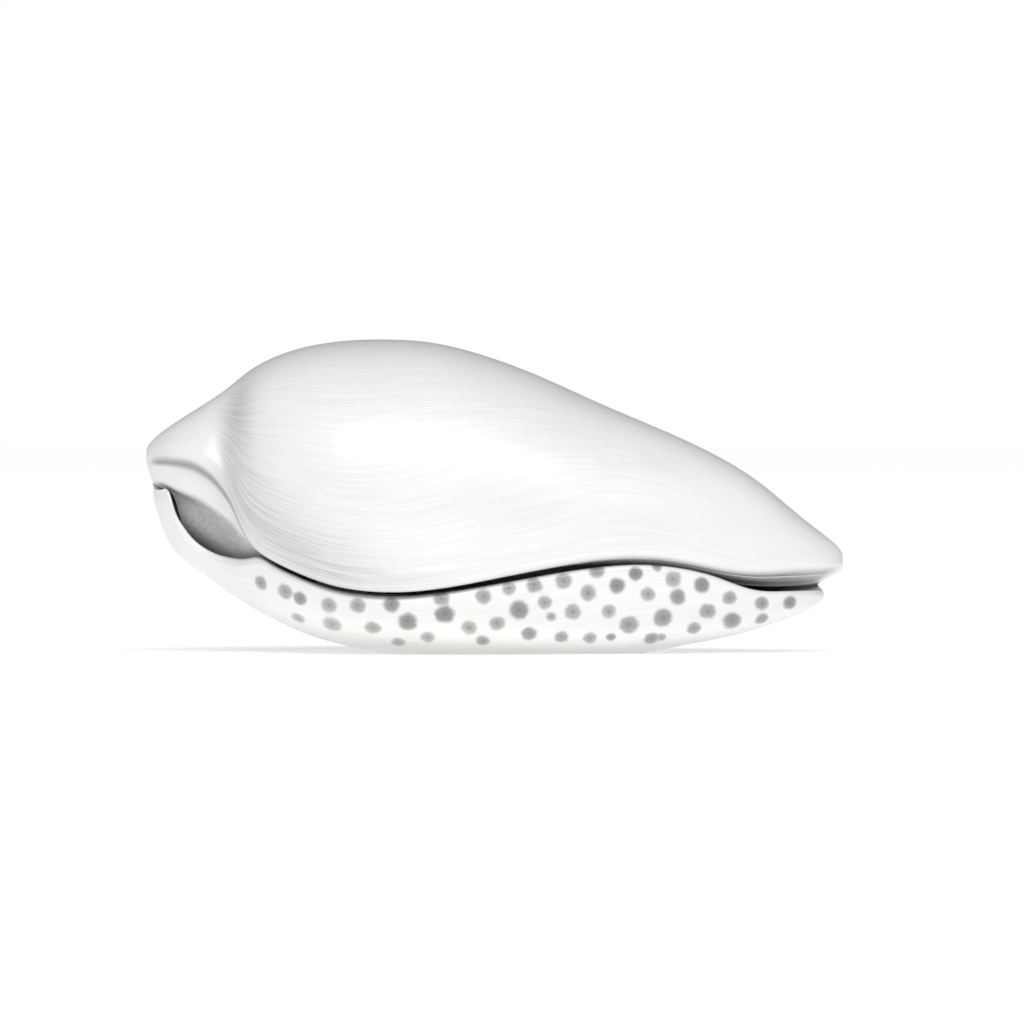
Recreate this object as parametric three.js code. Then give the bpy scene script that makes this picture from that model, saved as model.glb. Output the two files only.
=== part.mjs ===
// The empty shell of a flamingo tongue, a small sea snail. It is one piece: a single wall of lime that
// is rolled about one and three quarter times round the long axis, with a slit from end to end where
// the outer lip comes round to meet the body. The slit widens to an almond-shaped opening near the
// blunt end and to a short canal at the tapering end. The blunt end is drawn out into a beak.
//
// Millimetres. +X runs from the blunt end to the tapering end, -Y is the side of the slit, +Z is up.
// The origin is under the middle of the shell, on the table that the flat of the outer lip rests on.

import * as THREE from "three";
import { mergeVertices } from "three/addons/utils/BufferGeometryUtils.js";

// Driving sizes.
const LENGTH = 30; // blunt end to tapering tip
const LIP_FROM = 0.3; // the outer lip starts a little behind the blunt end of the body
const LIP_TO = 29.18; // and stops short of the tapering tip
const WALL = 0.9; // thickness of the wall
const LIP = 1.4; // thickness of the outer lip, which is rolled in and built up
const BLUNT_LIP = 0.75; // but is thin beside the opening at the blunt end
const LIP_CORNER = 0.3; // radius along the outer lip's rim
const BODY_CORNER = 0.3; // radius where the body turns in to the slit

// Outlines seen from the side of the slit: distance from the blunt end, height over the table.
const CREST = [
  [0, 8.59], [2.5, 10.7], [3.53, 11.41], [4.48, 12.16], [5.55, 12.74], [7.06, 13.21], [8.57, 13.43],
  [10.29, 13.49], [12.01, 13.39], [14.38, 12.85], [16.96, 11.9], [19.54, 10.74], [22.12, 9.64],
  [24.49, 8.52], [26.21, 7.47], [27.72, 6.24], [28.79, 5.38], [29.53, 4.8], [30, 4.07],
];
const BODY_EDGE = [
  [0, 8.18], [1.46, 8.18], [1.98, 8.07], [2.5, 7.79], [2.93, 7.42], [3.36, 6.84], [3.7, 6.22],
  [4, 5.49], [4.35, 4.84], [4.82, 4.35], [5.55, 3.92], [6.63, 3.44], [8.13, 2.93], [9.64, 2.69],
  [11.15, 2.65], [13.08, 2.84], [15.24, 3.23], [17.39, 3.64], [19.33, 3.94], [21.05, 4.05],
  [22.77, 3.94], [24.28, 3.66], [25.57, 3.42], [26.86, 3.34], [28.15, 3.4], [29.44, 3.46], [30, 3.77],
];
const LIP_EDGE = [
  [0.3, 7.14], [0.86, 6.99], [1.16, 6.65], [1.29, 6.09], [1.59, 5.36], [1.98, 4.8], [2.5, 4.35],
  [3.1, 4.05], [3.83, 3.92], [4.48, 3.96], [4.99, 4.05], [5.55, 3.79], [6.63, 3.27], [8.13, 2.71],
  [9.64, 2.47], [11.15, 2.43], [13.08, 2.65], [15.24, 3.03], [17.39, 3.44], [19.33, 3.74],
  [21.05, 3.85], [22.55, 3.72], [23.85, 3.42], [24.92, 3.03], [25.91, 2.73], [27.07, 2.65],
  [28.36, 2.67], [28.92, 2.65], [29.18, 2.52],
];
const FOOT = [
  [0.3, 6.95], [0.52, 5.92], [0.95, 4.8], [1.46, 4.13], [2.5, 3.34], [4.05, 2.26], [5.6, 1.4],
  [7.14, 0.71], [8.78, 0.26], [10.5, -0.08], [12.22, -0.25], [15.24, -0.3], [18.25, -0.25],
  [20.83, -0.08], [23.16, 0.32], [25.22, 0.73], [27.29, 1.36], [28.41, 1.79], [28.97, 2.13],
  [29.18, 2.37],
];

// The shelf of the inner lip shows under the body's edge near the blunt end: how far down it reaches.
const SHELF_DROP = [
  [0, 0.97], [0.82, 1.1], [1.46, 1.36], [2.32, 1.48], [3.01, 1.41], [3.62, 0.97], [4.26, 0.29],
  [4.82, 0.09], [5.55, 0.02], [9, 0.02], [18, 0.02], [30, 0.02],
];

// Height of the widest level, and half the width there.
const WAIST = [
  [0, 7.68], [1.46, 7.51], [3.53, 6.91], [5.77, 6.05], [8.78, 5.53], [11.79, 5.44], [15.24, 5.27],
  [19.54, 4.5], [23.85, 3.68], [26.86, 3.12], [30, 3.03],
];
const HALF_WIDTH = [
  [0, 0.2], [0.6, 1.3], [1.46, 2.1], [2.5, 2.75], [3.53, 3.6], [4.48, 4.9], [5.77, 6.2],
  [7.49, 7.2], [9.64, 7.9], [11.79, 8], [14.38, 7.8], [16.96, 7.2], [19.54, 6.4], [22.12, 5.5],
  [24.71, 4.5], [26.77, 3.6], [28.32, 2.7], [29.35, 1.7], [30, 0.2],
];

// Shape of the cross-section and of the roll inside it. Reaches are shares of the way from the
// middle of the section out to its surface, and angles are in radians.
const UPPER_FULLNESS = 0.1;
const LOWER_FULLNESS = 0.45;
const HALVES_MEET = [-0.35, 0.35]; // sines between which the lower half becomes the upper one
const STEEPEST = 0.98; // the sine of the highest and lowest places that the slit may have
const SLIT_LEAST = 0.01; // least angle from one edge of the slit to the next
const COLUMELLA_REACH = 0.84; // the shelf between the body's edge and the hollow
const SHELF_STEP = [0, 0.12]; // part of the shelf's width in which it drops from the body's edge
const WHORL_REACH = 0.62; // the inner roll where it starts
const BLUNT_WHORL_DEPTH = 0.95; // and how deep under the outside it starts near the blunt end
const WHORL_STEP = [0, Math.PI / 20]; // part of its turn in which it drops from the shelf
const WHORL_SPIRAL = 0.17; // what it loses on its way in
const WHORL_TURN = 1.5 * Math.PI;
const STUB_TURN = Math.PI / 15; // what is left of the inner roll at both ends
const CORE_REACH = 0.2; // the ends are solid but for this and the canal that opens into it
const CORE_STARTS = [0.26, 0.52]; // the turn from the lip's rim in which the solid reaches the core
const ROLL_JOINS = [-0.87, 0.18]; // and the turn from the shelf in which the wall joins the roll
const CORNER_MOST = 0.1; // most that a rounded corner takes off the reach
const WALL_MOST = 0.3; // and most that the wall's thickness does

// The lip's rim is cut slantwise, so that its inner edge stands lower than its outer one. The slant
// and the build-up fade out along the roll.
const LIP_SLANT = Math.PI / 36;
const BLUNT_SLANT = 0.5;
const SLANT_FADES = [0, 1 / 6];
const BUILD_FADES = [0, 1.2];

// Distances from the blunt end between which the lip becomes thick and the inner roll draws in, the
// ends turn from solid to hollow, and the inner roll grows from a stub to its full turn.
const LIP_THICKENS = [3.5, 8];
const BLUNT_FILL = [0.3, 0.9];
const BLUNT_STUB = [0.9, 2.8];
const TAPER_STUB = [18, 26];
const TAPER_FILL = [26, 28.6];

// The neck, a hollow that sets off the blunt end like a beak, and the raised margin over the slit.
const NECK_DEPTH = 0.4;
const NECK_AT = 3.66; // its distance from the blunt end, high up
const NECK_BEND_LEVEL = 8.3; // under this height it swings towards the tapering end
const NECK_BEND = 0.173;
const NECK_WIDTH = 0.7;
const NECK_SPREAD = 0.12; // it widens as it comes down
const NECK_SIDE = [0, 0.7]; // cosines between which it grows, so that it leaves the crest whole
const NECK_FADE = [3.6, 5.2]; // heights between which it runs out below
const MARGIN_RISE = 0.12;
const MARGIN_AT = 0.6; // over the edge of the slit
const MARGIN_WIDTH = 0.5;

// How the outer lip falls short of the body at both ends, in shares of the section's height.
const BLUNT_LEAN = 0.6;
const TAPER_LEAN = 0.5;
const CLEFT = 0.6; // depth of the notch between the two tips of the tapering end
const CLEFT_WIDTH = 0.3;
const CLEFT_GROWS = [0.7, 1]; // along the shell, as u

// Grid of the surface.
const STATIONS = 48;
const END_U = 0.018; // the sections stop this far short of both ends
const BLUNT_CROWDING = 0.08; // and stand closer together at the blunt one
const OUTSIDE_STEPS = 28;
const SLIT_CROWDING = 0.8; // how much closer they stand at the slit
const SHELF_STEPS = 4;
const WHORL_STEPS = 8;
const WHORL_CROWDING = 1.5;
const WALL_STEPS = 4; // through the wall, from the outer face to the inner one
const MERGE_WITHIN = 1e-6; // points this close are one
const ANGLE_ROUNDS = 12; // rounds of closing in on the angle of a height

const TURN = 2 * Math.PI;
const lerp = THREE.MathUtils.lerp;
const ease = (x) => THREE.MathUtils.smoothstep(x, 0, 1);
const between = (x, [from, to]) => ease((x - from) / (to - from));
const bump = (x, width) => Math.exp(-((x / width) ** 2));

// A smooth curve through [x, value] knots. It is read by u, which runs from 0 to 1 as half a turn
// of a circle carries x from one end to the other, so that the ends come out round.
function curve(knots, from = 0, to = LENGTH) {
  const us = knots.map(([x]) => Math.acos(1 - (2 * (x - from)) / (to - from)) / Math.PI);
  const vs = knots.map(([, value]) => value);
  const bend = naturalBends(us, vs);
  return (u) => {
    let i = 1;
    while (i < us.length - 1 && us[i] < u) i += 1;
    const h = us[i] - us[i - 1];
    const a = (us[i] - u) / h;
    const b = 1 - a;
    const sag = (a ** 3 - a) * bend[i - 1] + (b ** 3 - b) * bend[i];
    return a * vs[i - 1] + b * vs[i] + (sag * h * h) / 6;
  };
}

// Second derivatives of the natural cubic spline through the points.
function naturalBends(xs, ys) {
  const n = xs.length;
  const bend = new Array(n).fill(0);
  const upper = new Array(n).fill(0);
  for (let i = 1; i < n - 1; i += 1) {
    const before = xs[i] - xs[i - 1];
    const after = xs[i + 1] - xs[i];
    const share = before / (before + after);
    const pivot = share * bend[i - 1] + 2;
    const kink = (ys[i + 1] - ys[i]) / after - (ys[i] - ys[i - 1]) / before;
    bend[i] = (share - 1) / pivot;
    upper[i] = ((6 * kink) / (before + after) - share * upper[i - 1]) / pivot;
  }
  bend[n - 1] = 0;
  for (let i = n - 2; i >= 0; i -= 1) bend[i] = bend[i] * bend[i + 1] + upper[i];
  return bend;
}

const crest = curve(CREST);
const bodyEdge = curve(BODY_EDGE);
const shelfDrop = curve(SHELF_DROP);
const waist = curve(WAIST);
const halfWidth = curve(HALF_WIDTH);
const lipEdge = curve(LIP_EDGE, LIP_FROM, LIP_TO);
const foot = curve(FOOT, LIP_FROM, LIP_TO);

// Everything that one cross-section needs.
function section(u) {
  const s = { u, round: (1 - Math.cos(Math.PI * u)) / 2, width: halfWidth(u), middle: waist(u) };
  s.over = crest(u) - s.middle;
  s.under = s.middle - foot(u);
  s.bodyAngle = angleAt(s, bodyEdge(u));
  s.shelfAngle = Math.min(angleAt(s, bodyEdge(u) - shelfDrop(u)), s.bodyAngle - SLIT_LEAST);
  s.lipAngle = Math.min(angleAt(s, lipEdge(u)), s.shelfAngle - SLIT_LEAST);
  const x = LENGTH * s.round;
  s.thick = between(x, LIP_THICKENS);
  s.solid = 1 - between(x, BLUNT_FILL) + between(x, TAPER_FILL);
  s.turn = lerp(STUB_TURN, WHORL_TURN, between(x, BLUNT_STUB) - between(x, TAPER_STUB));
  return s;
}

// The section is an ellipse whose lower half is squarer and has its own height.
const rise = (s, sine) => lerp(s.under, s.over, between(sine, HALVES_MEET));
const fullness = (sine) => lerp(LOWER_FULLNESS, UPPER_FULLNESS, between(sine, HALVES_MEET));
const breadth = (s, sine) => s.width * (1 + fullness(sine) * sine * sine);

// The angle on the slit's side at which the outline has that height.
function angleAt(s, height) {
  let sine = 0;
  for (let i = 0; i < ANGLE_ROUNDS; i += 1) sine = (height - s.middle) / rise(s, sine);
  return Math.asin(THREE.MathUtils.clamp(sine, -STEEPEST, STEEPEST));
}

function radiusAt(s, angle) {
  const sine = Math.sin(angle);
  return Math.hypot(breadth(s, sine) * Math.cos(angle), rise(s, sine) * sine);
}

// A point of the section, given by its angle and by its share of the way out to the surface. The
// outer lip is shorter than the body, so the ends of the sections lean, and are cleft at the taper.
function place(s, angle, reach) {
  const sine = Math.sin(angle);
  const level = sine * reach;
  const inward = Math.sin(Math.PI * s.u) ** 2;
  const slit = (inward * (Math.sin(s.bodyAngle) + Math.sin(s.lipAngle))) / 2;
  const lean = lerp(BLUNT_LEAN, TAPER_LEAN, ease(s.u)) + inward;
  const body = ease((1 + (level - slit) / lean) / 2);
  const from = lerp(LIP_FROM, 0, body);
  const to = lerp(LIP_TO, LENGTH, body);
  const cleft = CLEFT * bump(level - slit, CLEFT_WIDTH) * between(s.u, CLEFT_GROWS);
  const x = lerp(from, to, s.round) - cleft - LENGTH / 2;
  const y = -breadth(s, sine) * Math.cos(angle) * reach;
  const z = s.middle + rise(s, sine) * level;
  return [x, y, Math.max(z, 0)];
}

// How deep the neck is there.
function neck(s, angle) {
  const sine = Math.sin(angle);
  const z = s.middle + rise(s, sine) * sine;
  const down = Math.max(NECK_BEND_LEVEL - z, 0);
  const at = NECK_AT + NECK_BEND * down * down;
  const side = between(Math.abs(Math.cos(angle)), NECK_SIDE) * between(z, NECK_FADE);
  return NECK_DEPTH * side * bump(LENGTH * s.round - at, NECK_WIDTH + NECK_SPREAD * down);
}

// How far a rounded corner drops below the surface, as a share of the radius of the section.
function cornerDrop(distance, radius, sectionRadius) {
  const past = THREE.MathUtils.clamp(1 - distance / radius, 0, 1);
  return Math.min((radius * (1 - Math.sqrt(1 - past * past))) / sectionRadius, CORNER_MOST);
}

// The outer face of the roll. p is 0 at the lip's rim, 1 at the body's edge after a turn round the
// outside, 2 at the shelf's edge and 3 at the end of the roll inside.
function outerFace(s, p) {
  const round = TURN - (s.bodyAngle - s.lipAngle);
  if (p <= 1) {
    const angle = s.lipAngle - p * round;
    const r = radiusAt(s, angle);
    const fromLip = p * round * r;
    const fromBody = (1 - p) * round * r;
    const drop = cornerDrop(fromLip, LIP_CORNER, r) + cornerDrop(fromBody, BODY_CORNER, r);
    const margin = MARGIN_RISE * bump(fromBody - MARGIN_AT, MARGIN_WIDTH) * (1 - s.solid);
    return [angle, 1 - drop + (margin - neck(s, angle)) / r];
  }
  const bodyCorner = 1 - Math.min(BODY_CORNER / radiusAt(s, s.bodyAngle), CORNER_MOST);
  if (p <= 2) {
    const across = p - 1;
    const angle = lerp(s.bodyAngle, s.shelfAngle, across) - TURN;
    return [angle, lerp(bodyCorner, COLUMELLA_REACH, between(across, SHELF_STEP))];
  }
  const past = (p - 2) * s.turn;
  return [s.shelfAngle - TURN - past, whorlReach(s, past)];
}

// The inner roll steps in from the shelf and then winds inward evenly. Near the blunt end it starts
// at a set depth under the outside, where the section is large enough for that.
function whorlReach(s, past) {
  const close = Math.max(1 - BLUNT_WHORL_DEPTH / radiusAt(s, s.shelfAngle - past), WHORL_REACH);
  const rolled = lerp(close, WHORL_REACH, s.thick) - WHORL_SPIRAL * Math.max(past / WHORL_TURN, 0);
  return lerp(COLUMELLA_REACH, rolled, between(past, WHORL_STEP));
}

// The inner face of the roll, at the same p.
function innerFace(s, p) {
  const [outerAngle] = outerFace(s, p);
  const slant = lerp(BLUNT_SLANT, LIP_SLANT, s.thick) * (1 - between(p, SLANT_FADES));
  const angle = outerAngle - slant;
  const turned = s.lipAngle - angle;
  const r = radiusAt(s, angle);
  const build = lerp(lerp(BLUNT_LIP, LIP, s.thick), WALL, between(turned, BUILD_FADES));
  const wall = 1 - Math.min(build / r, WALL_MOST);
  const fromShelf = turned - (s.lipAngle - s.shelfAngle + TURN);
  const whorl = whorlReach(s, Math.max(fromShelf, WHORL_STEP[1])) - Math.min(WALL / r, WALL_MOST);
  const hollow = lerp(wall, whorl, between(fromShelf, ROLL_JOINS));
  return [angle, lerp(hollow, CORE_REACH, s.solid * between(turned, CORE_STARTS))];
}

// One point of the wall: p runs along the roll and depth from its outer face to its inner one.
function wallPoint(s, p, depth) {
  const [outerAngle, outerReach] = outerFace(s, p);
  const [innerAngle, innerReach] = innerFace(s, p);
  return place(s, lerp(outerAngle, innerAngle, depth), lerp(outerReach, innerReach, depth));
}

function stationAt(i) {
  const t = i / STATIONS;
  return lerp(END_U, 1 - END_U, t - BLUNT_CROWDING * Math.sin(Math.PI * t));
}

// Steps along the roll, close together at the slit and where the inner roll starts.
function rollSteps() {
  const steps = [];
  for (let i = 0; i < OUTSIDE_STEPS; i += 1) {
    const t = i / OUTSIDE_STEPS;
    steps.push(lerp(t, (1 - Math.cos(Math.PI * t)) / 2, SLIT_CROWDING));
  }
  for (let i = 0; i < SHELF_STEPS; i += 1) steps.push(1 + i / SHELF_STEPS);
  for (let i = 0; i <= WHORL_STEPS; i += 1) steps.push(2 + (i / WHORL_STEPS) ** WHORL_CROWDING);
  return steps;
}

// The wall is a block bent into a roll, so its surface is the block's six faces: the outer and the
// inner face of the roll, the lip's rim, the end of the roll inside, and both ends of the shell.
function shellGeometry() {
  const sections = Array.from({ length: STATIONS + 1 }, (_, i) => section(stationAt(i)));
  const steps = rollSteps();
  const through = Array.from({ length: WALL_STEPS + 1 }, (_, k) => k / WALL_STEPS);
  const points = [];
  const faces = [];

  function addFace(rows, columns, pointAt, turnedOver) {
    const first = points.length;
    const wide = columns.length;
    for (const row of rows) points.push(...columns.map((column) => pointAt(row, column)));
    for (let i = 0; i < rows.length - 1; i += 1) {
      for (let j = 0; j < wide - 1; j += 1) {
        const near = first + i * wide + j;
        const far = near + wide;
        const corners = [near, near + 1, far + 1, far];
        if (turnedOver) corners.reverse();
        const [a, b, c, d] = corners;
        faces.push(a, b, c, a, c, d);
      }
    }
  }

  addFace(sections, steps, (s, p) => wallPoint(s, p, 0), false);
  addFace(sections, steps, (s, p) => wallPoint(s, p, 1), true);
  addFace(sections, through, (s, depth) => wallPoint(s, steps[0], depth), true);
  addFace(sections, through, (s, depth) => wallPoint(s, steps.at(-1), depth), false);
  addFace(steps, through, (p, depth) => wallPoint(sections[0], p, depth), false);
  addFace(steps, through, (p, depth) => wallPoint(sections.at(-1), p, depth), true);

  const loose = new THREE.BufferGeometry();
  loose.setAttribute("position", new THREE.Float32BufferAttribute(points.flat(), 3));
  loose.setIndex(faces);
  const geometry = mergeVertices(loose, MERGE_WITHIN);
  geometry.computeBoundingBox();
  const { min, max } = geometry.boundingBox;
  geometry.translate(-(min.x + max.x) / 2, -(min.y + max.y) / 2, -min.z);
  geometry.computeVertexNormals();
  return geometry;
}

const porcelain = new THREE.MeshStandardMaterial({ color: 0xf4f4f1, roughness: 0.22, metalness: 0 });
const shell = new THREE.Mesh(shellGeometry(), porcelain);
shell.name = "shell";

const group = new THREE.Group();
group.add(shell);

export default group;
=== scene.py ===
import math
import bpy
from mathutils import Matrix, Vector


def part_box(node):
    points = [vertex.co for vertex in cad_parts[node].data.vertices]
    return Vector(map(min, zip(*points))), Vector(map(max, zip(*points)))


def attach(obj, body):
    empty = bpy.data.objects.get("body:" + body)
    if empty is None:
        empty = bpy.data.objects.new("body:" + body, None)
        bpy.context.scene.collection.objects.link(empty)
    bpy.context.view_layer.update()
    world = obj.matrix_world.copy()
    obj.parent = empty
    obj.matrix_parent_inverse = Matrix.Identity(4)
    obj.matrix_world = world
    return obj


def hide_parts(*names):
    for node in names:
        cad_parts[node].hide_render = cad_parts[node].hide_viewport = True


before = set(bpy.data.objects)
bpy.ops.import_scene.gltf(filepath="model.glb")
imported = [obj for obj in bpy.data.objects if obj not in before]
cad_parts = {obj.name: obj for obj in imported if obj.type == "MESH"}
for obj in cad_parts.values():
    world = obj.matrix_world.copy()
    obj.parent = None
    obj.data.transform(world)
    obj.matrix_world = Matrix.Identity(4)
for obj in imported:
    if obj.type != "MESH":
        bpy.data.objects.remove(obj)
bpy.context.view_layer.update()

from types import SimpleNamespace

import bpy
import numpy as np
from mathutils import Vector

# The shell.
# The whole of it is one wall of lime, laid down by the snail and polished like porcelain. It is rolled
# about one and three quarter times round the shell's long axis, and its lip comes round to the body.
MM = 0.001
LENGTH = 30
LIP_FROM = 0.3
LIP_TO = 29.18
WALL = 0.9
LIP = 1.4
LIP_CORNER = 0.3
BODY_CORNER = 0.3

# Outlines seen from the side of the slit: distance from the blunt end, height over the table.
CREST = [
    (0, 8.59), (2.5, 10.7), (3.53, 11.41), (4.48, 12.16), (5.55, 12.74), (7.06, 13.21), (8.57, 13.43),
    (10.29, 13.49), (12.01, 13.39), (14.38, 12.85), (16.96, 11.9), (19.54, 10.74), (22.12, 9.64),
    (24.49, 8.52), (26.21, 7.47), (27.72, 6.24), (28.79, 5.38), (29.53, 4.8), (30, 4.07),
]
BODY_EDGE = [
    (0, 8.18), (1.46, 8.18), (1.98, 8.07), (2.5, 7.79), (2.93, 7.42), (3.36, 6.84), (3.7, 6.22),
    (4, 5.49), (4.35, 4.84), (4.82, 4.35), (5.55, 3.92), (6.63, 3.44), (8.13, 2.93), (9.64, 2.69),
    (11.15, 2.65), (13.08, 2.84), (15.24, 3.23), (17.39, 3.64), (19.33, 3.94), (21.05, 4.05),
    (22.77, 3.94), (24.28, 3.66), (25.57, 3.42), (26.86, 3.34), (28.15, 3.4), (29.44, 3.46), (30, 3.77),
]
LIP_EDGE = [
    (0.3, 7.14), (0.86, 6.99), (1.16, 6.65), (1.29, 6.09), (1.59, 5.36), (1.98, 4.8), (2.5, 4.35),
    (3.1, 4.05), (3.83, 3.92), (4.48, 3.96), (4.99, 4.05), (5.55, 3.79), (6.63, 3.27), (8.13, 2.71),
    (9.64, 2.47), (11.15, 2.43), (13.08, 2.65), (15.24, 3.03), (17.39, 3.44), (19.33, 3.74),
    (21.05, 3.85), (22.55, 3.72), (23.85, 3.42), (24.92, 3.03), (25.91, 2.73), (27.07, 2.65),
    (28.36, 2.67), (28.92, 2.65), (29.18, 2.52),
]
FOOT = [
    (0.3, 6.95), (0.52, 5.92), (0.95, 4.8), (1.46, 4.13), (2.5, 3.34), (4.05, 2.26), (5.6, 1.4),
    (7.14, 0.71), (8.78, 0.26), (10.5, -0.08), (12.22, -0.25), (15.24, -0.3), (18.25, -0.25),
    (20.83, -0.08), (23.16, 0.32), (25.22, 0.73), (27.29, 1.36), (28.41, 1.79), (28.97, 2.13),
    (29.18, 2.37),
]
SHELF_DROP = [
    (0, 0.97), (0.82, 1.1), (1.46, 1.36), (2.32, 1.48), (3.01, 1.41), (3.62, 0.97), (4.26, 0.29),
    (4.82, 0.09), (5.55, 0.02), (9, 0.02), (18, 0.02), (30, 0.02),
]
WAIST = [
    (0, 7.68), (1.46, 7.51), (3.53, 6.91), (5.77, 6.05), (8.78, 5.53), (11.79, 5.44), (15.24, 5.27),
    (19.54, 4.5), (23.85, 3.68), (26.86, 3.12), (30, 3.03),
]
HALF_WIDTH = [
    (0, 0.2), (0.6, 1.3), (1.46, 2.1), (2.5, 2.75), (3.53, 3.6), (4.48, 4.9), (5.77, 6.2),
    (7.49, 7.2), (9.64, 7.9), (11.79, 8), (14.38, 7.8), (16.96, 7.2), (19.54, 6.4), (22.12, 5.5),
    (24.71, 4.5), (26.77, 3.6), (28.32, 2.7), (29.35, 1.7), (30, 0.2),
]

# Shape of the cross-section and of the roll inside it. Reaches are shares of the way from the middle
# of the section out to its surface, and angles are in radians.
UPPER_FULLNESS = 0.1
LOWER_FULLNESS = 0.45
HALVES_MEET = (-0.35, 0.35)  # sines between which the lower half becomes the upper one
STEEPEST = 0.98  # the sine of the highest and lowest places that the slit may have
ANGLE_ROUNDS = 12  # rounds of closing in on the angle of a height
SLIT_LEAST = 0.01  # least angle from one edge of the slit to the next
COLUMELLA_REACH = 0.84  # the shelf between the body's edge and the hollow
SHELF_STEP = (0, 0.12)  # part of the shelf's width in which it drops from the body's edge
WHORL_REACH = 0.62  # the inner roll where it starts
BLUNT_WHORL_DEPTH = 0.95  # and how deep under the outside it starts near the blunt end
WHORL_STEP = (0, math.pi / 20)  # part of its turn in which it drops from the shelf
WHORL_SPIRAL = 0.17  # what it loses on its way in
WHORL_TURN = 1.5 * math.pi
STUB_TURN = math.pi / 15  # what is left of the inner roll at both ends
CORE_REACH = 0.2  # the ends are solid but for this and the canal that opens into it
CORE_STARTS = (0.26, 0.52)  # the turn from the lip's rim in which the solid reaches the core
ROLL_JOINS = (-0.87, 0.18)  # and the turn from the shelf in which the wall joins the roll
CORNER_MOST = 0.1  # most that a rounded corner takes off the reach
WALL_MOST = 0.3  # and most that the wall's thickness does

# The lip's rim is cut slantwise, so that its inner edge stands lower than its outer one. The slant and
# the build-up fade out along the roll.
LIP_SLANT = math.pi / 36
BLUNT_SLANT = 0.5
BLUNT_LIP = 0.75
SLANT_FADES = (0, 1 / 6)
BUILD_FADES = (0, 1.2)

# Distances from the blunt end between which the lip becomes thick and the inner roll draws in, the ends
# turn from solid to hollow, and the inner roll grows from a stub to its full turn.
LIP_THICKENS = (3.5, 8)
BLUNT_FILL = (0.3, 0.9)
BLUNT_STUB = (0.9, 2.8)
TAPER_STUB = (18, 26)
TAPER_FILL = (26, 28.6)

# The neck, a hollow that sets off the blunt end like a beak, the painted shade in it, and the raised
# margin over the slit.
NECK_DEPTH = 0.4
NECK_AT = 3.66  # its distance from the blunt end, high up
NECK_BEND_LEVEL = 8.3  # under this height it swings towards the tapering end
NECK_BEND = 0.173
NECK_WIDTH = 0.7
NECK_SPREAD = 0.12  # it widens as it comes down
NECK_SIDE = (0, 0.7)  # cosines between which it grows, so that it leaves the crest whole
NECK_FADE = (3.6, 5.2)  # heights between which it runs out below
NECK_SHADE_WIDTH = 0.8  # the painted shade's width, spread and fade on the body's side, in the same way
NECK_SHADE_SPREAD = 0.55
NECK_SHADE_FADE = (2.4, 3.4)
MARGIN_RISE = 0.12
MARGIN_AT = 0.6  # over the edge of the slit
MARGIN_WIDTH = 0.5

# How the outer lip falls short of the body at both ends, in shares of the section's height.
BLUNT_LEAN = 0.6
TAPER_LEAN = 0.5
CLEFT = 0.6  # depth of the notch between the two tips of the tapering end
CLEFT_WIDTH = 0.3
CLEFT_GROWS = (0.7, 1)  # along the shell, as u

# Grid of the surface.
STATIONS = 310
END_U = 0.018  # the sections stop this far short of both ends
BLUNT_CROWDING = 0.08  # and stand closer together at the blunt one
OUTSIDE_STEPS = 126
SLIT_CROWDING = 0.8  # how much closer they stand at the slit
SHELF_STEPS = 10
WHORL_STEPS = 14
WHORL_CROWDING = 1.5
WALL_STEPS = 6  # through the wall, from the outer face to the inner one
MERGE_DIGITS = 6  # points that agree to this many digits are one
EDGE_REACH = 1.4  # width of the shelf as the painted shade along the seam counts it
TURN = 2 * math.pi


def ease(x):
    """Goes from 0 to 1 as x does, level at both ends: three times the square less twice the cube."""
    x = np.clip(x, 0, 1)
    return x * x * (3 - 2 * x)


def between(x, ends):
    """Goes from 0 to 1 in the same way as x goes from one end to the other."""
    return ease((x - ends[0]) / (ends[1] - ends[0]))


def bump(x, width):
    """A bell: e to the power of minus the square of x over width."""
    return np.exp(-((x / width) ** 2))


def lerp(a, b, t):
    """The value at share t of the way from a to b."""
    return a + (b - a) * t


def curve(knots, start=0, end=LENGTH):
    """The natural cubic spline through (x, value) knots, read by u. Half a turn of a circle carries x
    from start to end as u goes from 0 to 1, so the ends come out round."""
    x, value = np.array(knots, float).T
    u = np.arccos(1 - 2 * (x - start) / (end - start)) / np.pi
    h = np.diff(u)
    rows = np.eye(len(u))
    kinks = np.zeros(len(u))
    inner = np.arange(1, len(u) - 1)
    rows[inner, inner - 1] = h[:-1]
    rows[inner, inner] = 2 * (h[:-1] + h[1:])
    rows[inner, inner + 1] = h[1:]
    slope = np.diff(value) / h
    kinks[inner] = 6 * np.diff(slope)
    bend = np.linalg.solve(rows, kinks)

    def read(at):
        i = np.clip(np.searchsorted(u, at), 1, len(u) - 1)
        a = (u[i] - at) / h[i - 1]
        b = 1 - a
        sag = (a ** 3 - a) * bend[i - 1] + (b ** 3 - b) * bend[i]
        return a * value[i - 1] + b * value[i] + sag * h[i - 1] ** 2 / 6

    return read


crest = curve(CREST)
body_edge = curve(BODY_EDGE)
shelf_drop = curve(SHELF_DROP)
waist = curve(WAIST)
half_width = curve(HALF_WIDTH)
lip_edge = curve(LIP_EDGE, LIP_FROM, LIP_TO)
foot = curve(FOOT, LIP_FROM, LIP_TO)


def rise(s, sine):
    """Height of the section over its waist where the sine is 1: it goes from the lower to the upper."""
    return lerp(s.under, s.over, between(sine, HALVES_MEET))


def breadth(s, sine):
    """Half width of the section, made fuller with the square of the sine, more so below the waist."""
    fullness = lerp(LOWER_FULLNESS, UPPER_FULLNESS, between(sine, HALVES_MEET))
    return s.width * (1 + fullness * sine * sine)


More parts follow.
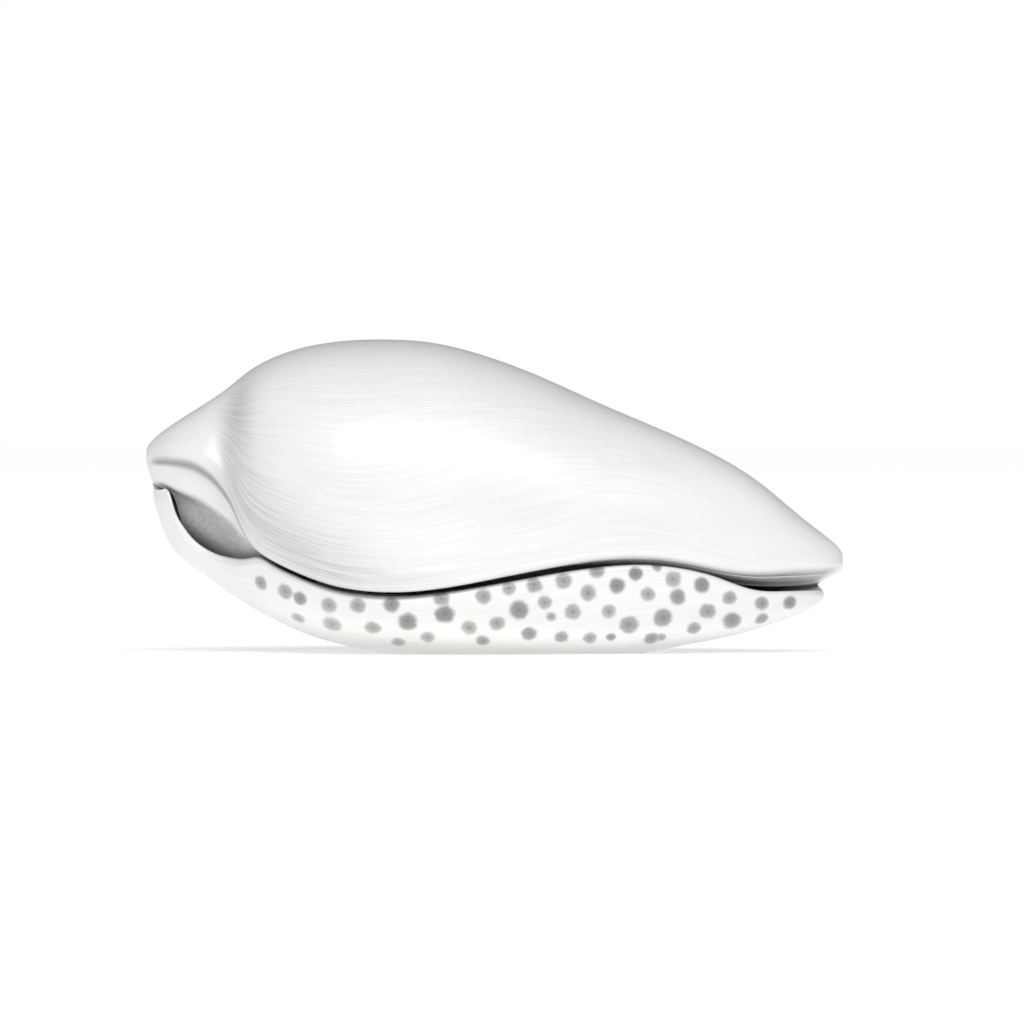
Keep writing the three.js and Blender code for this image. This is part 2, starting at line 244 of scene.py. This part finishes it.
def angle_at(s, height):
    """The angle on the slit's side at which the outline has that height, closed in on step by step."""
    sine = np.zeros_like(height)
    for _ in range(ANGLE_ROUNDS):
        sine = (height - s.middle) / rise(s, sine)
    return np.arcsin(np.clip(sine, -STEEPEST, STEEPEST))


def sections(u):
    """What the cross-sections at u need: their size, the angles of the slit's edges and how far the
    roll inside them is filled or turned."""
    s = SimpleNamespace(u=u, round=(1 - np.cos(np.pi * u)) / 2, width=half_width(u), middle=waist(u))
    s.over = crest(u) - s.middle
    s.under = s.middle - foot(u)
    s.body = angle_at(s, body_edge(u))
    s.shelf = np.minimum(angle_at(s, body_edge(u) - shelf_drop(u)), s.body - SLIT_LEAST)
    s.lip = np.minimum(angle_at(s, lip_edge(u)), s.shelf - SLIT_LEAST)
    x = LENGTH * s.round
    s.thick = between(x, LIP_THICKENS)
    s.solid = 1 - between(x, BLUNT_FILL) + between(x, TAPER_FILL)
    s.turn = lerp(STUB_TURN, WHORL_TURN, between(x, BLUNT_STUB) - between(x, TAPER_STUB))
    return s


def radius_at(s, angle):
    """How far the section reaches out at an angle."""
    sine = np.sin(angle)
    return np.hypot(breadth(s, sine) * np.cos(angle), rise(s, sine) * sine)


def place(s, angle, reach):
    """The point of a section at an angle and at a share of the way out. The sections lean towards the
    ends, where the outer lip is shorter than the body, and the taper is cleft between the two."""
    sine = np.sin(angle)
    level = sine * reach
    inward = np.sin(np.pi * s.u) ** 2
    slit = inward * (np.sin(s.body) + np.sin(s.lip)) / 2
    lean = lerp(BLUNT_LEAN, TAPER_LEAN, ease(s.u)) + inward
    body = ease((1 + (level - slit) / lean) / 2)
    start = lerp(LIP_FROM, 0, body)
    end = lerp(LIP_TO, LENGTH, body)
    cleft = CLEFT * bump(level - slit, CLEFT_WIDTH) * between(s.u, CLEFT_GROWS)
    x = lerp(start, end, s.round) - cleft - LENGTH / 2
    y = -breadth(s, sine) * np.cos(angle) * reach
    z = np.maximum(s.middle + rise(s, sine) * level, 0)
    return np.stack(np.broadcast_arrays(x, y, z), -1)


def neck_line(s, angle):
    """Height of the place, how far it lies under the bend of the neck, and how far past the neck's
    line, which swings back as it comes down."""
    sine = np.sin(angle)
    z = s.middle + rise(s, sine) * sine
    down = np.maximum(NECK_BEND_LEVEL - z, 0)
    return z, down, LENGTH * s.round - NECK_AT - NECK_BEND * down * down


def neck(s, angle):
    """Depth of the hollow behind the beak: a bell across the neck's line, nothing on the crest."""
    z, down, past = neck_line(s, angle)
    side = between(np.abs(np.cos(angle)), NECK_SIDE) * between(z, NECK_FADE)
    return NECK_DEPTH * side * bump(past, NECK_WIDTH + NECK_SPREAD * down)


def neck_painted_shade(s, angle):
    """Share of the painted shade in the neck: the same bell, but spread wide on the body's side, where
    it runs down to the slit."""
    z, down, past = neck_line(s, angle)
    side = between(np.abs(np.cos(angle)), NECK_SIDE) * between(z, NECK_SHADE_FADE)
    width = np.where(past < 0, NECK_WIDTH + NECK_SPREAD * down, NECK_SHADE_WIDTH + NECK_SHADE_SPREAD * down)
    return side * bump(past, width)


def corner_drop(distance, radius, section_radius):
    """How far a rounded corner lies under the surface, as a share of the section's radius."""
    past = np.clip(1 - distance / radius, 0, 1)
    return np.minimum(radius * (1 - np.sqrt(1 - past * past)) / section_radius, CORNER_MOST)


def whorl_reach(s, past):
    """The inner roll steps in from the shelf and then winds inward evenly. Near the blunt end it starts
    at a set depth under the outside, where the section is large enough for that."""
    close = np.maximum(1 - BLUNT_WHORL_DEPTH / radius_at(s, s.shelf - past), WHORL_REACH)
    rolled = lerp(close, WHORL_REACH, s.thick) - WHORL_SPIRAL * np.maximum(past / WHORL_TURN, 0)
    return lerp(COLUMELLA_REACH, rolled, between(past, WHORL_STEP))


def outer_face(s, p):
    """Angle and reach of the outer face of the roll. p is 0 at the lip's rim, 1 at the body's edge
    after a turn round the outside, 2 at the shelf's edge and 3 at the end of the roll inside."""
    whole = TURN - (s.body - s.lip)
    angle = s.lip - p * whole
    r = radius_at(s, angle)
    from_lip = p * whole * r
    from_body = (1 - p) * whole * r
    drop = corner_drop(from_lip, LIP_CORNER, r) + corner_drop(from_body, BODY_CORNER, r)
    margin = MARGIN_RISE * bump(from_body - MARGIN_AT, MARGIN_WIDTH) * (1 - s.solid)
    reach = 1 - drop + (margin - neck(s, angle)) / r

    across = p - 1
    corner = 1 - np.minimum(BODY_CORNER / radius_at(s, s.body), CORNER_MOST)
    shelf_angle = lerp(s.body, s.shelf, across) - TURN
    shelf_reach = lerp(corner, COLUMELLA_REACH, between(across, SHELF_STEP))

    past = (p - 2) * s.turn
    zone = [p <= 1, p <= 2]
    return (
        np.select(zone, [angle, shelf_angle], s.shelf - TURN - past),
        np.select(zone, [reach, shelf_reach], whorl_reach(s, past)),
    )


def inner_face(s, p):
    """Angle and reach of the inner face of the roll at the same p: a wall's thickness under the outer
    face, joined to the inner roll, and nothing but a core where the ends are solid."""
    angle = outer_face(s, p)[0] - lerp(BLUNT_SLANT, LIP_SLANT, s.thick) * (1 - between(p, SLANT_FADES))
    turned = s.lip - angle
    r = radius_at(s, angle)
    build = lerp(lerp(BLUNT_LIP, LIP, s.thick), WALL, between(turned, BUILD_FADES))
    wall = 1 - np.minimum(build / r, WALL_MOST)
    from_shelf = turned - (s.lip - s.shelf + TURN)
    whorl = whorl_reach(s, np.maximum(from_shelf, WHORL_STEP[1])) - np.minimum(WALL / r, WALL_MOST)
    hollow = lerp(wall, whorl, between(from_shelf, ROLL_JOINS))
    return angle, lerp(hollow, CORE_REACH, s.solid * between(turned, CORE_STARTS))


def wall(u, p, depth):
    """A point of the wall: u runs along the shell, p along the roll and depth through the wall."""
    s = sections(u)
    outer_angle, outer_reach = outer_face(s, p)
    inner_angle, inner_reach = inner_face(s, p)
    return place(s, lerp(outer_angle, inner_angle, depth), lerp(outer_reach, inner_reach, depth))


t = np.linspace(0, 1, STATIONS + 1)
along = lerp(END_U, 1 - END_U, t - BLUNT_CROWDING * np.sin(np.pi * t))
t = np.arange(OUTSIDE_STEPS) / OUTSIDE_STEPS
steps = np.concatenate([
    lerp(t, (1 - np.cos(np.pi * t)) / 2, SLIT_CROWDING),
    1 + np.arange(SHELF_STEPS) / SHELF_STEPS,
    2 + np.linspace(0, 1, WHORL_STEPS + 1) ** WHORL_CROWDING,
])
through = np.linspace(0, 1, WALL_STEPS + 1)

# The wall is a block bent into a roll, so its surface is the block's six faces.
SIDES = [
    (along[:, None], steps[None, :], 0.0, False),
    (along[:, None], steps[None, :], 1.0, True),
    (along[:, None], 0.0, through[None, :], True),
    (along[:, None], 3.0, through[None, :], False),
    (along[0], steps[:, None], through[None, :], False),
    (along[-1], steps[:, None], through[None, :], True),
]
points, quads, run, depths, stations, crease_shades, edges = [], [], [], [], [], [], []
count = 0
for u, p, depth, turned_over in SIDES:
    u, p = np.asarray(u, float), np.asarray(p, float)
    grid = wall(u, p, depth)
    s = sections(u)
    angle = outer_face(s, p)[0]
    to_edge = (1 - p) * (TURN - s.body + s.lip) * radius_at(s, angle)
    shape = grid.shape[:2]
    index = count + np.arange(shape[0] * shape[1]).reshape(shape)
    corners = [index[:-1, :-1], index[:-1, 1:], index[1:, 1:], index[1:, :-1]]
    if turned_over:
        corners.reverse()
    quads.append(np.stack(corners, -1).reshape(-1, 4))
    points.append(grid.reshape(-1, 3))
    run.append(np.broadcast_to(p, shape).ravel())
    depths.append(np.broadcast_to(depth, shape).ravel())
    stations.append(np.broadcast_to(u, shape).ravel())
    crease_shades.append(np.broadcast_to(neck_painted_shade(s, angle), shape).ravel())
    to_edge = np.where(p <= 1, to_edge, (p - 1) * EDGE_REACH)
    edges.append(np.broadcast_to(to_edge, shape).ravel())
    count += shape[0] * shape[1]
points, quads = np.concatenate(points), np.concatenate(quads)
run, depths, stations = np.concatenate(run), np.concatenate(depths), np.concatenate(stations)
crease_shades, edges = np.concatenate(crease_shades), np.concatenate(edges)
_, first, same = np.unique(
    np.round(points, MERGE_DIGITS), axis=0, return_index=True, return_inverse=True
)
points, run, depths, stations = points[first], run[first], depths[first], stations[first]
crease_shades, edges = crease_shades[first], edges[first]
quads = same.ravel()[quads]

# The finer mesh is fitted to the box of the plain solid, from which it differs by a hundredth of a mm.
lo, hi = (np.array(corner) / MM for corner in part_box("shell"))
own_lo, own_hi = points.min(0), points.max(0)
points = lo + (points - own_lo) * (hi - lo) / (own_hi - own_lo)

mesh = bpy.data.meshes.new("shell_wall")
mesh.from_pydata(points * MM, [], quads.tolist())
mesh.validate()
mesh.polygons.foreach_set("use_smooth", np.ones(len(mesh.polygons), bool))
shell = bpy.data.objects.new("polished_shell", mesh)
bpy.context.scene.collection.objects.link(shell)

# Grey spots stand on the outer lip, some small and some large. Those on the side of the slit stand
# where they are listed, by radius: distance from the blunt end and height. The rest are scattered over
# the underside and the far side of the lip, at least SPOT_SPACING from any other.
SPOTS = {
    0.22: [(17.4, 1.7), (20.0, 0.8), (21.9, 3.8), (22.1, 0.7)],
    0.31: [
        (5.0, 3.1), (6.7, 2.4), (6.6, 1.6), (10.9, 0.5), (12.2, 0.8), (14.5, 0.6), (15.6, 2.9),
        (17.1, 2.3), (17.9, 0.8), (19.1, 0.7), (19.9, 1.9), (21.0, 3.5), (21.5, 2.6), (23.5, 1.1),
        (25.0, 2.4), (26.4, 2.2), (26.4, 1.5), (27.6, 2.2),
    ],
    0.35: [
        (6.1, 2.7), (8.0, 2.1), (9.2, 2.1), (9.8, 1.2), (10.6, 2.2), (12.8, 2.5), (13.9, 1.2),
        (14.5, 2.5), (15.1, 1.4), (16.5, 0.9), (16.7, 3.0), (17.9, 3.2), (18.3, 1.9), (19.0, 2.7),
        (19.3, 3.6), (20.2, 3.0), (21.7, 0.7), (22.6, 3.2), (22.8, 2.5), (23.8, 3.0), (24.1, 1.9),
    ],
    0.42: [(8.1, 1.3), (11.3, 1.4), (12.9, 1.8), (16.1, 1.9), (20.7, 1.3), (22.2, 1.6), (25.2, 1.4)],
}
FRONT_RUN = 0.35  # from the lip's rim round to here, the roll can be seen from the front
STRETCH = 0.2  # how much depth counts in a listed spot, which then looks round from the front
SPOT_SPACING = 1.15
SCATTERED_RADII = (0.24, 0.42)
SPOTTED_ALONG = (4.5, 28)  # distances from the blunt end between which they are scattered
SPOTTED_UP_TO = 2.6
FAR_SIDE_FROM = 0.5  # the far side starts at this y
UNDERSIDE_FROM = -1.2  # and the underside at this one, where it faces down as squarely as this
FACING_DOWN = -0.99
SEED = 5
TRIES = 4000
NO_SPOT = 9.0  # in radii from the nearest spot

# How far the painted shade along the seam spreads, where the painted shade of the hollow starts, both
# through the wall and along the roll, and where the plain lime of the wall's inner face takes over. The
# two painted shades fade out at the ends, where the sections draw together.
HALF_WALL = 0.5
SEAM_SHADE_WIDTH = 0.16
HOLLOW_SHADE_DEPTH = (0, 2 / 3)
HOLLOW_SHADE_RUN = (1.96, 1.96 + 1 / 12)
INNER_DEPTH = (0.5, 1)
ENDS_FADE = (0.03, 0.09)

normals = np.empty(len(points) * 3, np.float32)
mesh.vertices.foreach_get("normal", normals)
facing_up = normals.reshape(-1, 3)[:, 2]
outside = (depths < HALF_WALL) & (run < 1)
from_blunt = points[:, 0] + LENGTH / 2
in_front = outside & (run < FRONT_RUN) & (points[:, 1] < 0)
spots = []
for radius, places in SPOTS.items():
    for x, z in places:
        off = np.hypot(from_blunt - x, points[:, 2] - z) + np.where(in_front, 0, LENGTH)
        spots.append((points[np.argmin(off)], radius, STRETCH))
random = np.random.default_rng(SEED)
underside = (facing_up < FACING_DOWN) & (points[:, 1] > UNDERSIDE_FROM)
unseen = outside & (underside | (points[:, 1] > FAR_SIDE_FROM)) & (points[:, 2] < SPOTTED_UP_TO)
unseen &= (from_blunt > SPOTTED_ALONG[0]) & (from_blunt < SPOTTED_ALONG[1])
for i in random.permutation(np.flatnonzero(unseen))[:TRIES]:
    if min(np.linalg.norm(centre - points[i]) for centre, _, _ in spots) > SPOT_SPACING:
        spots.append((points[i], random.uniform(*SCATTERED_RADII), 1))
spot = np.full(len(points), NO_SPOT)
shade = np.zeros(len(points))
for centre, radius, stretch in spots:
    off = points - centre
    distance = np.sqrt(off[:, 0] ** 2 + off[:, 2] ** 2 + stretch * off[:, 1] ** 2) / radius
    nearer = distance < spot
    spot[nearer] = distance[nearer]
    shade[nearer] = random.uniform(0, 1)
spot[~outside] = NO_SPOT
off_ends = between(np.minimum(stations, 1 - stations), ENDS_FADE)
layers = {
    "spot": spot,
    "spot_shade": shade,
    "run": run,
    # painted shade in the neck's crease and down the body's side to the slit
    "crease_shade": np.where(outside, crease_shades, 0),
    # painted shade along the body's edge, where it overhangs the slit
    "seam_shade": off_ends * np.where((depths == 0) & (run < 2), bump(edges, SEAM_SHADE_WIDTH), 0),
    # painted shade in the hollow: the lip's rim, the slit and the inner roll are greyed
    "hollow": off_ends * np.where(depths > 0, between(depths, HOLLOW_SHADE_DEPTH), between(run, HOLLOW_SHADE_RUN)),
    "inside": between(depths, INNER_DEPTH),
}
for name, values in layers.items():
    layer = mesh.attributes.new(name, "FLOAT", "POINT")
    layer.data.foreach_set("value", values.astype(np.float32))

# The lime is off-white, cloudy and faintly lined along its length. A spot is grey with a darker heart
# and a ragged edge. Noise is in waves to the metre, but LINES_ROUND in waves to a turn of the roll, and
# a spot's parts are in its radii.
ROUGHNESS = 0.34
REFRACTION = 1.6
COAT = 0.25
COAT_ROUGHNESS = 0.12
LIGHT_LIME = (0.88, 0.88, 0.86)
DULL_LIME = (0.80, 0.80, 0.79)
CLOUDS = 260.0
CLOUD_DETAIL = 3.0
LINES_ALONG = 240.0
LINES_ROUND = 360.0
LINE_NOISE = (1.0, 3.0, 0.6)  # scale, detail and roughness
LINE_ENDS = (0.62, 0.40)
LINE_GREY = (0.62, 0.62, 0.61)
LINE_SHARE = 0.2
# Painted shade: grey in the neck's crease and down the body's side to the slit
NECK_SHADE_GREY = (0.42, 0.42, 0.42)
NECK_SHADE_SHARE = 0.3
NECK_SHADE_LINE_SHARE = 0.35
RAGS = 2600.0
RAG_DEPTH = 0.5
SPOT_EDGE = (0.65, 1.25)
SPOT_HEART = (0.0, 0.6)
HEART_SHARE = 0.6
DARK_SPOT = (0.24, 0.24, 0.24)
PALE_SPOT = (0.40, 0.40, 0.39)
HEART_GREY = (0.14, 0.14, 0.14)
# Painted shade along the body's edge over the slit
SEAM_SHADE_SHARE = 0.85
SEAM_SHADE_GREY = (0.22, 0.22, 0.22)
# Painted shade inside the hollow, on the lip's rim and in the slit, grained
GRAIN = 5200.0
DARK_HOLLOW_SHADE = (0.26, 0.26, 0.26)
PALE_HOLLOW_SHADE = (0.50, 0.50, 0.50)
INNER_LIME = (0.7, 0.7, 0.69)
RELIEF = 900.0
RELIEF_SHARE = 0.35
RELIEF_DEPTH = 0.00003
porcelain = bpy.data.materials.new("polished_lime")
porcelain.use_nodes = True
nodes, links = porcelain.node_tree.nodes, porcelain.node_tree.links
surface = nodes["Principled BSDF"]
surface.inputs["Roughness"].default_value = ROUGHNESS
surface.inputs["IOR"].default_value = REFRACTION
surface.inputs["Coat Weight"].default_value = COAT
surface.inputs["Coat Roughness"].default_value = COAT_ROUGHNESS


def attribute(name):
    """The number that the mesh carries under that name."""
    node = nodes.new("ShaderNodeAttribute")
    node.attribute_name = name
    return node.outputs["Fac"]


def maths(operation, a, b=0.0, c=0.0):
    """The result of a sum on numbers or sockets."""
    node = nodes.new("ShaderNodeMath")
    node.operation = operation
    for socket, value in zip(node.inputs, (a, b, c)):
        if isinstance(value, (int, float)):
            socket.default_value = value
        else:
            links.new(value, socket)
    return node.outputs[0]


def noise(vector, scale, detail=2.0, roughness=0.5):
    """Smooth noise from 0 to 1."""
    node = nodes.new("ShaderNodeTexNoise")
    node.inputs["Scale"].default_value = scale
    node.inputs["Detail"].default_value = detail
    node.inputs["Roughness"].default_value = roughness
    links.new(vector, node.inputs["Vector"])
    return node.outputs["Fac"]


def fade(value, start, end):
    """1 where value is at start and 0 where it is at end, smoothly."""
    node = nodes.new("ShaderNodeMapRange")
    node.interpolation_type = "SMOOTHSTEP"
    node.inputs["From Min"].default_value = start
    node.inputs["From Max"].default_value = end
    node.inputs["To Min"].default_value = 1.0
    node.inputs["To Max"].default_value = 0.0
    links.new(value, node.inputs["Value"])
    return node.outputs["Result"]


def blend(factor, a, b):
    """The colour at that share of the way from a to b, each a colour or a socket."""
    node = nodes.new("ShaderNodeMix")
    node.data_type = "RGBA"
    links.new(factor, node.inputs["Factor"])
    for socket, value in ((node.inputs["A"], a), (node.inputs["B"], b)):
        if isinstance(value, tuple):
            socket.default_value = (*value, 1)
        else:
            links.new(value, socket)
    return node.outputs["Result"]


where = nodes.new("ShaderNodeTexCoord").outputs["Object"]
split = nodes.new("ShaderNodeSeparateXYZ")
links.new(where, split.inputs[0])
join = nodes.new("ShaderNodeCombineXYZ")
links.new(maths("MULTIPLY", split.outputs["X"], LINES_ALONG), join.inputs["X"])
links.new(maths("MULTIPLY", attribute("run"), LINES_ROUND), join.inputs["Y"])
lengthwise = join.outputs[0]

lines = noise(lengthwise, *LINE_NOISE)
streaks = fade(lines, *LINE_ENDS)
white = blend(noise(where, CLOUDS, CLOUD_DETAIL), LIGHT_LIME, DULL_LIME)
lined = blend(maths("MULTIPLY", streaks, LINE_SHARE), white, LINE_GREY)
# painted shade in the neck, streaked along the lines
neck_shade_strength = maths("MULTIPLY_ADD", streaks, NECK_SHADE_LINE_SHARE, NECK_SHADE_SHARE)
crease_shaded = blend(maths("MULTIPLY", neck_shade_strength, attribute("crease_shade")), lined, NECK_SHADE_GREY)

rag = maths("SUBTRACT", noise(where, RAGS), 0.5)
ragged = maths("MULTIPLY_ADD", rag, RAG_DEPTH, attribute("spot"))
heart = maths("MULTIPLY", fade(ragged, *SPOT_HEART), HEART_SHARE)
spot_grey = blend(attribute("spot_shade"), DARK_SPOT, PALE_SPOT)
spot_colour = blend(heart, spot_grey, HEART_GREY)
spotted = blend(fade(ragged, *SPOT_EDGE), crease_shaded, spot_colour)
# painted shade along the body's edge, where it overhangs the slit
seam_shaded = blend(maths("MULTIPLY", attribute("seam_shade"), SEAM_SHADE_SHARE), spotted, SEAM_SHADE_GREY)

# painted shade of the hollow, grained
hollow_shade = blend(noise(where, GRAIN), DARK_HOLLOW_SHADE, PALE_HOLLOW_SHADE)
hollow_shaded = blend(attribute("hollow"), seam_shaded, hollow_shade)
links.new(blend(attribute("inside"), hollow_shaded, INNER_LIME), surface.inputs["Base Color"])

relief = nodes.new("ShaderNodeBump")
relief.inputs["Strength"].default_value = RELIEF_SHARE
relief.inputs["Distance"].default_value = RELIEF_DEPTH
links.new(maths("ADD", lines, noise(where, RELIEF)), relief.inputs["Height"])
links.new(relief.outputs["Normal"], surface.inputs["Normal"])
mesh.materials.append(porcelain)

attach(shell, "root")
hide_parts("shell")

# The table.
# A plain pale sheet that the shell rests on. It is lit to white further off, as paper before a lit
# wall is, so no edge shows behind the shell.
SHEET = 3
WHITE = 0.93
MATT = 0.95
SHEEN = 0.1
NEAR_GLOW = 0.33
FAR_GLOW = 0.6
GLOW_FROM = 0.05
GLOW_TO = 0.5
sheet = bpy.data.meshes.new("pale_sheet")
corners = [(-SHEET, -SHEET, 0), (SHEET, -SHEET, 0), (SHEET, SHEET, 0), (-SHEET, SHEET, 0)]
sheet.from_pydata(corners, [], [(0, 1, 2, 3)])
paper = bpy.data.materials.new("pale_paper")
paper.use_nodes = True
nodes, links = paper.node_tree.nodes, paper.node_tree.links
matt = nodes["Principled BSDF"]
matt.inputs["Base Color"].default_value = (WHITE, WHITE, WHITE, 1)
matt.inputs["Roughness"].default_value = MATT
matt.inputs["Specular IOR Level"].default_value = SHEEN
matt.inputs["Emission Color"].default_value = (1, 1, 1, 1)
far = nodes.new("ShaderNodeVectorMath")
far.operation = "LENGTH"
links.new(nodes.new("ShaderNodeTexCoord").outputs["Object"], far.inputs[0])
glow = nodes.new("ShaderNodeMapRange")
glow.interpolation_type = "SMOOTHSTEP"
glow.inputs["From Min"].default_value = GLOW_FROM
glow.inputs["From Max"].default_value = GLOW_TO
glow.inputs["To Min"].default_value = NEAR_GLOW
glow.inputs["To Max"].default_value = FAR_GLOW
links.new(far.outputs["Value"], glow.inputs["Value"])
links.new(glow.outputs["Result"], matt.inputs["Emission Strength"])
paper.cycles.emission_sampling = "NONE"
sheet.materials.append(paper)
table = bpy.data.objects.new("table", sheet)
bpy.context.scene.collection.objects.link(table)

# The light.
# A long soft lamp in front of the shell and above it, in a pale room with a white wall. The gloss
# mirrors the room as dark, so the shell's edges stand out against the wall.
ROOM = 0.43
MIRRORED = 0.06
WALL_WHITE = 1.0
LAMP_BEARING = math.radians(4)
LAMP_HEIGHT = math.radians(49)
LAMP_DISTANCE = 0.6
LAMP_SIZE = (0.8, 0.2)
LAMP_POWER = 2.75
LAMP_AIM = Vector((0, 0, 0.006))
world = bpy.data.worlds.new("white_room")
bpy.context.scene.world = world
world.use_nodes = True
nodes, links = world.node_tree.nodes, world.node_tree.links
rays = nodes.new("ShaderNodeLightPath").outputs
room = nodes.new("ShaderNodeMapRange")
room.inputs["To Min"].default_value = ROOM
room.inputs["To Max"].default_value = MIRRORED
links.new(rays["Is Glossy Ray"], room.inputs["Value"])
seen = nodes.new("ShaderNodeMapRange")
seen.inputs["To Max"].default_value = WALL_WHITE
links.new(rays["Is Camera Ray"], seen.inputs["Value"])
links.new(room.outputs["Result"], seen.inputs["To Min"])
nodes["Background"].inputs["Color"].default_value = (1, 1, 1, 1)
links.new(seen.outputs["Result"], nodes["Background"].inputs["Strength"])

towards = Vector((
    math.sin(LAMP_BEARING) * math.cos(LAMP_HEIGHT),
    -math.cos(LAMP_BEARING) * math.cos(LAMP_HEIGHT),
    math.sin(LAMP_HEIGHT),
))
light = bpy.data.lights.new("key", "AREA")
light.shape = "RECTANGLE"
light.size, light.size_y = LAMP_SIZE
light.energy = LAMP_POWER
lamp = bpy.data.objects.new("key", light)
lamp.location = towards * LAMP_DISTANCE + LAMP_AIM
lamp.rotation_euler = towards.to_track_quat("Z", "Y").to_euler()
bpy.context.scene.collection.objects.link(lamp)
bpy.context.scene.view_settings.view_transform = "Standard"

# The camera.
# It looks at the side of the slit from hardly above the table, through a very long lens.
LENS = 400
VIEW_WIDTH = 0.04407
LOOKS_DOWN = math.radians(0.5)
NEAREST = 0.01
AIM = Vector((0.00075, 0, 0.00605))
camera = bpy.data.cameras.new("camera")
camera.lens = LENS
camera.clip_start = NEAREST
distance = VIEW_WIDTH * LENS / camera.sensor_width
stand = bpy.data.objects.new("camera", camera)
away = Vector((0, -math.cos(LOOKS_DOWN), math.sin(LOOKS_DOWN)))
stand.location = AIM + away * distance
stand.rotation_euler = away.to_track_quat("Z", "Y").to_euler()
bpy.context.scene.collection.objects.link(stand)
bpy.context.scene.camera = stand
